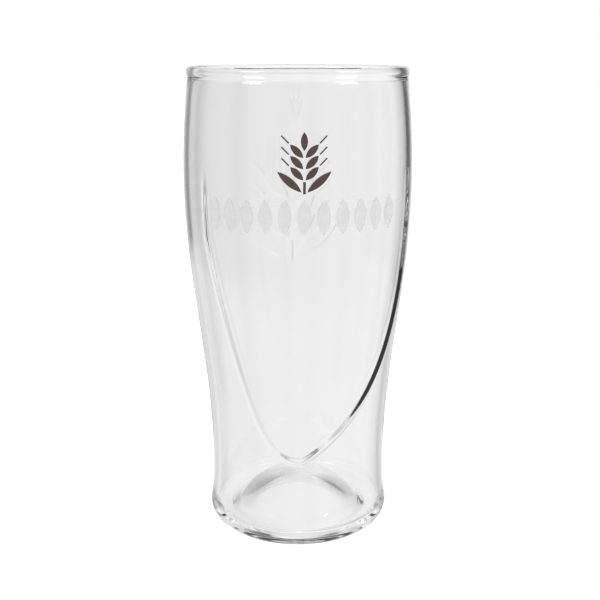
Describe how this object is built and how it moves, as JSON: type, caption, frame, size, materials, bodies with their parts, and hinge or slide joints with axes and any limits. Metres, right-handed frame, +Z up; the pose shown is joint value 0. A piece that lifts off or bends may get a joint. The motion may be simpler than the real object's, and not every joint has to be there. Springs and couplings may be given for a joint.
{
  "type": "pint glass",
  "caption": "Empty tulip pint glass, narrow at the waist and wide at the belly, thin walled, with a beaded rim, a domed push-up base, a moulded V rib, and a plain enamel print on the front.",
  "frame": {"origin": "centre of the base, on the surface that the glass stands on", "axes": "+Z up through the open rim; the enamel prints and the V rib face -Y and the raised ear of barley is on the +Y side; +X is to the right seen from the front"},
  "size_m": [0.08, 0.0804, 0.165],
  "materials": {
    "clear_glass": "clear soda-lime glass, fire polished",
    "brown_enamel": "dark brown ceramic enamel, fired on, satin",
    "pale_enamel": "pale grey ceramic enamel, fired on, thin and satin"
  },
  "bodies": {
    "root": {"glass": "clear_glass", "emblem_print": "brown_enamel", "frieze_print": "pale_enamel"}
  },
  "joints": []
}
